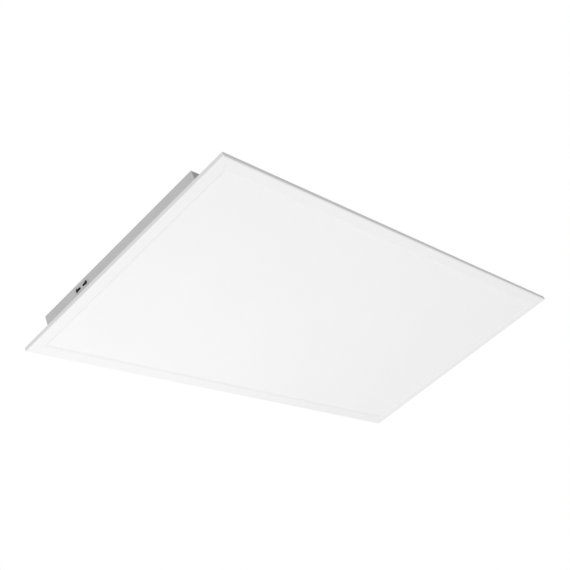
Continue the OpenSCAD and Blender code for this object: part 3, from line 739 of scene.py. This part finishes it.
def cover_plate():
    """Wiring cover: front lip, raised panel, and two tongues curled round the hinge pin."""
    low, high = corners_of("driver_box_cover")
    pin_low, pin_high = corners_of("cover_hinge_pin")
    sheet = 0.8 * MM
    pin_y, pin_z = (pin_low.y + pin_high.y) / 2, (pin_low.z + pin_high.z) / 2
    curl = high.y - pin_y
    top = pin_z + curl
    rear = 49.8 * MM
    lip = 7 * MM
    margin, ramp, lift = 13 * MM, 4 * MM, 0.8 * MM
    panel_y = (-34 * MM, 38 * MM)
    panel_x = high.x - margin

    def raised(x, y):
        gap = min(panel_x - abs(x), y - panel_y[0], panel_y[1] - y)
        share = min(max(gap / ramp, 0.0), 1.0)
        return lift * share * share * (3 - 2 * share)

    edge = [(p.x, p.y) for p in round_corners([(low.y, top - lip), (low.y, top), (rear, top)], 1.4 * MM)]
    flat = refined(edge[-2][0], rear, 10 * MM, 1 * MM, [y + s * ramp / 2 for y, s in
                   ((panel_y[0], 1), (panel_y[1], -1))], ramp / 2 + 0.5 * MM)
    section = edge[:-2] + [(y, top) for y in flat]
    tongues = [(side * 58.5 * MM, side * 74.5 * MM) for side in (-1, 1)]
    near = [s * (panel_x - ramp / 2) for s in (-1, 1)]
    lengths = set(refined(low.x, high.x, 14 * MM, 1 * MM, near, ramp / 2 + 0.5 * MM))
    for a, b in tongues:
        lengths.update(spread(a, b, 4 * MM))
    lengths = sorted(lengths)
    mesh = bmesh.new()
    rows = [[Vector((x, y, z + (raised(x, y) if z == top else 0))) for y, z in section] for x in lengths]
    lay_grid(mesh, rows)
    turn = [math.radians(90 - 290 * k / 24) for k in range(25)]
    knuckle = [(rear, top)] + [(pin_y + curl * math.cos(a), pin_z + curl * math.sin(a)) for a in turn]
    for a, b in tongues:
        across = [x for x in lengths if min(a, b) - 1e-6 <= x <= max(a, b) + 1e-6]
        lay_grid(mesh, [[Vector((x, y, z)) for y, z in knuckle] for x in across])
    bmesh.ops.remove_doubles(mesh, verts=mesh.verts, dist=1e-5)
    face_towards(mesh, (0, 0, 1))
    piece = add_piece("wiring_cover_plate", mesh, "wiring_cover", "wiring_box", ["driver_box_cover"])
    thicken(piece, sheet, 0.12 * MM)
    return top + lift


def lay_label(mesh, low, high, height, thickness=0.12 * MM, corner=2 * MM):
    """A thin label with rounded corners on a plane at that height."""
    corners = [(low[0], low[1]), (high[0], low[1]), (high[0], high[1]), (low[0], high[1])]
    outline = round_corners(corners, corner, 6, closed=True)
    flat = [Vector((p.x, p.y, height - 0.02 * MM)) for p in outline]
    middle = sum(flat, Vector()) / len(flat)
    inset = [middle + (p - middle) * 0.997 + Vector((0, 0, thickness)) for p in flat]
    lay_loft(mesh, [flat, inset])


def labels(cover_top):
    """Blank labels: one on the wiring cover and one on the pan's back."""
    mesh = bmesh.new()
    lay_label(mesh, (-27 * MM, -18 * MM), (54 * MM, 27 * MM), cover_top)
    add_piece("cover_label", closed(mesh), "wiring_cover", "wiring_box", material=label_paper)
    mesh = bmesh.new()
    pan_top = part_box("housing_pan")[1][2]
    lay_label(mesh, (-351 * MM, 36 * MM), (-243 * MM, 81 * MM), pan_top)
    add_piece("pan_label", closed(mesh), "panel", "wiring_box", material=label_paper)


def knockouts():
    """Dished discs of the knockouts that are still in place, inside the box's ring grooves."""
    height = corners_of("driver_box")[0].z + 13.5 * MM
    half_l, half_w, side_x = 160 * MM, 50 * MM, 100 * MM
    mesh = bmesh.new()
    dish = [(9.9, 0.0), (9.7, 0.25), (8.6, 0.3), (7.8, 0.12), (0, 0.12)]
    spots = [
        (Vector((-half_l, 0, height)), Matrix.Rotation(-math.pi / 2, 4, "Y")),
        (Vector((-side_x, -half_w, height)), Matrix.Rotation(math.pi / 2, 4, "X")),
        (Vector((side_x, -half_w, height)), Matrix.Rotation(math.pi / 2, 4, "X")),
    ]
    for spot, turn in spots:
        before = set(mesh.verts)
        lay_turned(mesh, [(r * MM, z * MM) for r, z in dish], (0, 0, 0), 40)
        fresh = [v for v in mesh.verts if v not in before]
        bmesh.ops.transform(mesh, matrix=Matrix.Translation(spot) @ turn, verts=fresh)
    settle(add_piece("knockout_discs", closed(mesh), "panel", "wiring_box"))


def rounded_loop(x, low, high, inset, radius, steps=4):
    """Closed loop in the plane x: a rounded rectangle between the (y, z) corners, pulled in by inset."""
    a, b = (low[0] + inset, low[1] + inset), (high[0] - inset, high[1] - inset)
    corners = [(a[0], a[1]), (b[0], a[1]), (b[0], b[1]), (a[0], b[1])]
    return [Vector((x, p.x, p.y)) for p in round_corners(corners, radius, steps, closed=True)]


def driver():
    """LED driver: coated case with a crimped groove near each end, and two feet."""
    low, high = corners_of("led_driver")
    case_y = low.y + 30 * MM
    mesh = bmesh.new()
    loops = []
    for start, sign in ((low.x, 1), (high.x, -1)):
        group = []
        for offset, inset in ((0, 0.8), (0.6, 0.1), (1.2, 0), (7, 0), (7.4, 0.5), (8.4, 0.5), (8.8, 0)):
            x = start + sign * offset * MM
            group.append(rounded_loop(x, (low.y, low.z), (case_y, high.z), inset * MM, 1.8 * MM))
        loops += group if sign > 0 else group[::-1]
    lay_loft(mesh, loops)
    for x in (-110 * MM, 40 * MM):
        foot = [(x - 7 * MM, case_y - 1 * MM), (x + 7 * MM, case_y - 1 * MM)]
        foot += [(x + 7 * MM, high.y), (x - 7 * MM, high.y)]
        outline = round_corners(foot, 1.5 * MM, 5, closed=True)
        lay_loft(mesh, [[Vector((p.x, p.y, low.z + z)) for p in outline] for z in (0, 1 * MM)])
    settle(add_piece("driver_case", closed(mesh), "panel", "driver_case", ["led_driver"]))
    mesh = bmesh.new()
    lay_label(mesh, (low.x + 27 * MM, low.y + 4 * MM), (high.x - 27 * MM, case_y - 4 * MM), high.z)
    add_piece("driver_label", closed(mesh), "panel", "driver_case", material=label_paper)


def splices():
    """Lever splices: an amber body, and an orange lever on top."""
    bodies, levers = bmesh.new(), bmesh.new()
    for low, high in solids_of("splice_connectors"):
        step_z = low.z + 4.6 * MM
        loops = []
        for offset, inset in ((0, 0.5), (0.5, 0), (16.5, 0), (17.4, 0.3), (18, 0.9)):
            x = low.x + offset * MM
            loops.append(rounded_loop(x, (low.y, low.z), (high.y, step_z), inset * MM, 0.9 * MM))
        lay_loft(bodies, loops)
        loops = []
        for offset, top in ((2.0, 0.5), (2.8, 1.2), (11, 1.4), (14.4, 1.4), (15.2, 0.6)):
            corner = (high.y - 1.4 * MM, step_z + top * MM)
            loops.append(rounded_loop(
                low.x + offset * MM, (low.y + 1.4 * MM, step_z - 0.6 * MM), corner, 0, 0.25 * MM
            ))
        lay_loft(levers, loops)
    settle(add_piece("splice_bodies", closed(bodies), "panel", "splice", ["splice_connectors"]))
    settle(add_piece("splice_levers", closed(levers), "panel", "splice", material=orange_lever))


def wire(name, points, radius, slot, replaced=(), bend=None, material=None):
    """An insulated wire: a round tube along a path with rounded bends."""
    path = round_corners(points, bend or 2.4 * radius, 7)
    curve = bpy.data.curves.new(name, "CURVE")
    curve.dimensions = "3D"
    curve.bevel_depth = radius
    curve.bevel_resolution = 3
    curve.use_fill_caps = True
    line = curve.splines.new("POLY")
    line.points.add(len(path) - 1)
    for point, spot in zip(line.points, path):
        point.co = (*spot, 1.0)
    line.use_smooth = True
    piece = bpy.data.objects.new(name, curve)
    bpy.context.scene.collection.objects.link(piece)
    curve.materials.append(material or materials[slot])
    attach(piece, "panel")
    if replaced:
        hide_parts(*replaced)
    return piece


def driver_leads():
    """The driver's leads: each leaves its right end and turns back to its own splice."""
    low, high = corners_of("led_driver")
    splice_boxes = sorted(solids_of("splice_connectors"), key=lambda box: box[0].y)
    radius = 1.1 * MM
    height = splice_boxes[0][0].z + 3.1 * MM
    wires = [
        ("dimming_lead_pink", "dimming_wire", (), pink_wire),
        ("dimming_lead_violet", "dimming_wire", ("dimming_leads",), None),
        ("neutral_lead_wire", "neutral_wire", ("neutral_lead",), None),
        ("line_lead_wire", "line_wire", ("line_lead",), None),
    ]
    for k, (name, slot, replaced, material) in enumerate(wires):
        target_low, target_high = splice_boxes[k]
        exit_y = low.y + (21 - 5 * k) * MM
        turn_x = high.x + (4 + 2.6 * k) * MM
        end_y = (target_low.y + target_high.y) / 2
        points = [(high.x - 1 * MM, exit_y, height), (turn_x, exit_y, height)]
        points += [(turn_x, end_y, height), (target_high.x - 1.5 * MM, end_y, height)]
        wire(name, points, radius, slot, replaced, 2.4 * MM, material)


def harness():
    """Red and black conductors from strip to strip, up through the grommet and round to the driver."""
    case_low = corners_of("led_driver")[0]
    strips = [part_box(f"led_board_{k}") for k in range(1, 5)]
    lines = [(a[1] + b[1]) / 2 for a, b in strips]
    radius, half = 0.8 * MM, 5 * MM
    below = corners_of("led_harness")[0].z + radius
    loop_x = case_low.x - 5 * MM
    sides = [
        ("red", 3 * MM, 4 * MM, 18 * MM, materials["harness"]),
        ("black", -3 * MM, 8 * MM, 12 * MM, materials["line_wire"]),
    ]
    for name, x, rise, entry, material in sides:
        for k in range(3):
            points = [(x, lines[k] + half, below), (x, lines[k + 1] - half, below)]
            wire(f"harness_{name}_{k + 1}", points, radius, "harness", material=material)
        height = case_low.z + rise
        entry_y = case_low.y + entry
        points = [(x, 0, below), (x, 0, height), (x, x, height), (loop_x, x, height)]
        points += [(loop_x, entry_y, height), (case_low.x + 1 * MM, entry_y, height)]
        replaced = ("led_harness",) if name == "red" else ()
        wire(f"harness_{name}_riser", points, radius, "harness", replaced, 1.4 * MM, material)


def selector_lead():
    """Jacketed cable from the selector's board, under the pan's back and up to the driver."""
    case_low = corners_of("led_driver")[0]
    grommet = solids_of("wire_grommets")[0]
    hole_x = (grommet[0].x + grommet[1].x) / 2
    board_low, board_high = corners_of("switch_board")
    radius = 0.9 * MM
    start = (board_low + board_high) / 2
    below = corners_of("led_harness")[0].z + 0.8 * MM
    over = corners_of("selector_cable")[1].z - radius
    loop_x = case_low.x - 5 * MM
    entry_y = case_low.y + 24 * MM
    rise_x = board_high.x + 6 * MM
    points = [(board_high.x - 0.5 * MM, start.y, start.z), (rise_x, start.y, start.z)]
    points += [(rise_x, start.y, below), (hole_x, start.y, below), (hole_x, 0, below), (hole_x, 0, over)]
    points += [(loop_x, 0, over), (loop_x, entry_y, over), (case_low.x + 1 * MM, entry_y, over)]
    wire("selector_lead", points, radius, "cable_jacket", ["selector_cable"], 2.0 * MM)


def ground_bond():
    """Green ground lead with a crimped ring terminal, under a hexagon washer-head screw."""
    low, high = corners_of("ground_lead")
    screw_low, screw_high = corners_of("ground_screw")
    eye = (screw_low + screw_high) / 2
    mesh = bmesh.new()
    ring = [(1.6, 0), (3.4, 0), (3.6, 0.2), (3.6, 0.8), (3.4, 1.0), (1.6, 1.0), (1.6, 0)]
    lay_turned(mesh, [(r * MM, z * MM) for r, z in ring], (eye.x, eye.y, low.z), 28)
    neck = [(3.2, 1.4, 0.5), (4.0, 1.4, 0.5), (4.4, 1.5, 1.3), (9.0, 1.5, 1.3), (9.4, 1.2, 1.1)]
    loops = []
    for offset, half_y, half_z in neck:
        corner_low = (eye.y - half_y * MM, low.z)
        corner_high = (eye.y + half_y * MM, low.z + 2 * half_z * MM)
        loops.append(rounded_loop(eye.x + offset * MM, corner_low, corner_high, 0, 0.4 * MM))
    lay_loft(mesh, loops)
    settle(add_piece("ground_terminal", closed(mesh), "panel", "fastener"))
    height = low.z + 1.4 * MM
    ends = [(eye.x + 9 * MM, eye.y, height), (high.x + 1 * MM, eye.y, height)]
    wire("ground_wire", ends, 1.1 * MM, "ground_wire", ["ground_lead"])
    mesh = bmesh.new()
    height = screw_high.z - screw_low.z
    washer = 1.0 * MM
    head_z = height - 2.6 * MM
    profile = [(0, 0), (1.4, 0), (1.4, head_z / MM), (3.4, head_z / MM)]
    profile.append((3.4, (head_z + washer) / MM - 0.3))
    lay_turned(mesh, [(r * MM, z * MM) for r, z in profile], (eye.x, eye.y, screw_low.z), 24)
    hexagon = [(2.7, head_z / MM + 0.5), (2.7, height / MM - 0.4), (2.3, height / MM), (0, height / MM)]
    lay_turned(mesh, [(r * MM, z * MM) for r, z in hexagon], (eye.x, eye.y, screw_low.z), 6)
    settle(add_piece("ground_screw_detail", closed(mesh), "panel", "ground_screw", ["ground_screw"]))


# ---------------------------------------------------------------- selector

def slot_middle(side):
    """Middle of a selector slot on the surround's front: side is -1 for brightness, 1 for colour."""
    low, high = corners_of("selector_bezel")
    middle = (low + high) / 2
    slot_offset = 10 * MM
    return Vector((low.x, middle.y + side * slot_offset, middle.z))


def upright_outline(middle, half_y, half_z, radius, steps):
    """A rounded rectangle round middle, in the plane of the end wall: (y, z) points."""
    turns = ((-1, -1), (1, -1), (1, 1), (-1, 1))
    corners = [(middle.y + y * half_y, middle.z + z * half_z) for y, z in turns]
    return round_corners(corners, radius, steps, closed=True)


def slot_liners():
    """A black sleeve in each slot, which belongs to the switch's housing."""
    half_l, half_h = 7.0 * MM, 2.75 * MM
    section = [(0.3, 0.02), (0.06, 0.1), (0.06, 0.4), (3.8, 0.4), (3.8, 0.02), (0.3, 0.02)]
    mesh = bmesh.new()
    for side in (-1, 1):
        middle = slot_middle(side)
        rows = []
        for depth, inset in section:
            y, z = half_l - inset * MM, half_h - inset * MM
            outline = upright_outline(middle, y, z, z - 0.01 * MM, 8)
            rows.append([Vector((middle.x + depth * MM, p.x, p.y)) for p in outline + outline[:1]])
        lay_grid(mesh, rows)
    bmesh.ops.remove_doubles(mesh, verts=mesh.verts, dist=0.001 * MM)
    settle(add_piece("slot_liners", closed(mesh), "panel", "switch_body"))


def selector_ticks():
    """Three raised ticks beside each slot: they mark the slider's steps."""
    pitch, drop, half_w, half_h = 4 * MM, 5.4 * MM, 0.35 * MM, 0.7 * MM
    mesh = bmesh.new()
    for side in (-1, 1):
        for step in (-1, 0, 1):
            middle = slot_middle(side) + Vector((0, step * pitch, -drop))
            outline = upright_outline(middle, half_w, half_h, 0.3 * MM, 4)
            depths = (middle.x + 0.1 * MM, middle.x - 0.2 * MM)
            lay_loft(mesh, [[Vector((x, p.x, p.y)) for p in outline] for x in depths])
    add_piece("selector_ticks", closed(mesh), "panel", "selector_surround")


# ---------------------------------------------------------------- assembly

def dress(obj, slot):
    """Gives obj the one material of that slot."""
    obj.data.materials.clear()
    obj.data.materials.append(materials[slot])


for part in frame["record"]["subparts"]:
    dress(nodes_of[part["node"]], part["material_slot"])

EDGE_RADII = {
    "frame_rail_front": 0.25 * MM, "frame_rail_rear": 0.25 * MM,
    "frame_rail_left": 0.25 * MM, "frame_rail_right": 0.25 * MM,
    "end_plate_left": 0.12 * MM, "end_plate_right": 0.12 * MM,
    "selector_bezel": 0.2 * MM, "brightness_slider": 0.12 * MM, "color_slider": 0.12 * MM,
    "driver_box": 0.12 * MM, "cover_hinge_pin": 0.3 * MM, "wire_grommets": 0.3 * MM,
    "board_connectors": 0.3 * MM, "brightness_switch": 0.3 * MM, "color_switch": 0.3 * MM,
    "led_packages": 0.15 * MM, "light_seals": 0.4 * MM, "corner_keys": 0.3 * MM,
}
for node, width in EDGE_RADII.items():
    soften(nodes_of[node], width)

screws("flange_screws", "panel")
screws("end_plate_screws", "panel")
screws("driver_box_screws", "panel")
screws("driver_screws", "panel")
screws("cover_screw", "wiring_cover")
rivets("board_rivets", "fastener")
rivets("hanger_rivets", "hanger")
diffuser()
back_pan()
for number in range(1, 5):
    hanger_tab(f"hanger_tab_{number}")
    clip_arm(f"tbar_clip_{number}", f"clip_{number}")
clip_posts()
labels(cover_plate())
knockouts()
driver()
splices()
driver_leads()
harness()
selector_lead()
ground_bond()
slot_liners()
selector_ticks()

# ---------------------------------------------------------------- stage, light and camera

def make_floor():
    """The room's pale floor, far below the ceiling panel."""
    half, depth = 40.0, -2.9
    mesh = bpy.data.meshes.new("floor")
    corners = [(-half, -half, depth), (half, -half, depth), (half, half, depth), (-half, half, depth)]
    mesh.from_pydata(corners, [], [(0, 1, 2, 3)])
    floor = bpy.data.objects.new("floor", mesh)
    bpy.context.scene.collection.objects.link(floor)
    material, _, shader = new_material("floor_pale", grey(0.85), 0.8)
    shader.inputs["Emission Color"].default_value = (1, 1, 1, 1)
    shader.inputs["Emission Strength"].default_value = 0.62
    mesh.materials.append(material)
    floor.visible_diffuse = False
    floor.visible_glossy = False
    floor.visible_shadow = False


def make_world(level, lean):
    """White backdrop. Its light on the object is level, and grows by lean towards each axis."""
    world = bpy.data.worlds.new("studio")
    bpy.context.scene.world = world
    world.use_nodes = True
    tree = world.node_tree
    tree.nodes.clear()
    direction = tree.nodes.new("ShaderNodeTexCoord")
    along = tree.nodes.new("ShaderNodeVectorMath")
    along.operation = "DOT_PRODUCT"
    along.inputs[1].default_value = lean
    tree.links.new(direction.outputs["Generated"], along.inputs[0])
    total = tree.nodes.new("ShaderNodeMath")
    total.operation = "ADD"
    total.use_clamp = False
    total.inputs[1].default_value = level
    tree.links.new(along.outputs["Value"], total.inputs[0])
    light = tree.nodes.new("ShaderNodeBackground")
    light.inputs["Color"].default_value = (1, 1, 1, 1)
    tree.links.new(total.outputs["Value"], light.inputs["Strength"])
    backdrop = tree.nodes.new("ShaderNodeBackground")
    backdrop.inputs["Color"].default_value = (1, 1, 1, 1)
    seen = tree.nodes.new("ShaderNodeLightPath")
    mix = tree.nodes.new("ShaderNodeMixShader")
    out = tree.nodes.new("ShaderNodeOutputWorld")
    tree.links.new(seen.outputs["Is Camera Ray"], mix.inputs["Fac"])
    tree.links.new(light.outputs["Background"], mix.inputs[1])
    tree.links.new(backdrop.outputs["Background"], mix.inputs[2])
    tree.links.new(mix.outputs["Shader"], out.inputs["Surface"])


def softbox(name, spot, aim, size, power):
    light = bpy.data.lights.new(name, "AREA")
    light.shape = "DISK"
    light.size = size
    light.energy = power
    lamp = bpy.data.objects.new(name, light)
    lamp.location = spot
    lamp.rotation_mode = "QUATERNION"
    lamp.rotation_quaternion = (Vector(aim) - Vector(spot)).to_track_quat("-Z", "Y")
    bpy.context.scene.collection.objects.link(lamp)


def make_camera():
    """Below the panel, past its left front corner, looking up, and rolled."""
    spot = Vector((-1.797, -1.002, -1.166))
    aim = Vector((-0.0696, 0.0048, 0.0949))
    roll = math.radians(-23.91)
    camera = bpy.data.objects.new("camera", bpy.data.cameras.new("camera"))
    camera.data.lens = 64.83
    camera.data.sensor_width = 36.0
    camera.data.clip_end = 100.0
    bpy.context.scene.collection.objects.link(camera)
    level = (aim - spot).to_track_quat("-Z", "Y").to_matrix().to_4x4()
    camera.matrix_world = Matrix.Translation(spot) @ level @ Matrix.Rotation(roll, 4, "Z")
    bpy.context.scene.camera = camera


bpy.context.scene.view_settings.view_transform = "Standard"
make_floor()
make_world(0.651, (-0.153, 0.13, -0.36))
softbox("key_below", (-0.5, 0.7, -1.1), (-0.3, 0.2, 0.0), 0.8, 2.31)
softbox("fill_above", (1.2, 1.6, 2.4), (0.0, 0.0, 0.0), 1.6, 60.0)
make_camera()
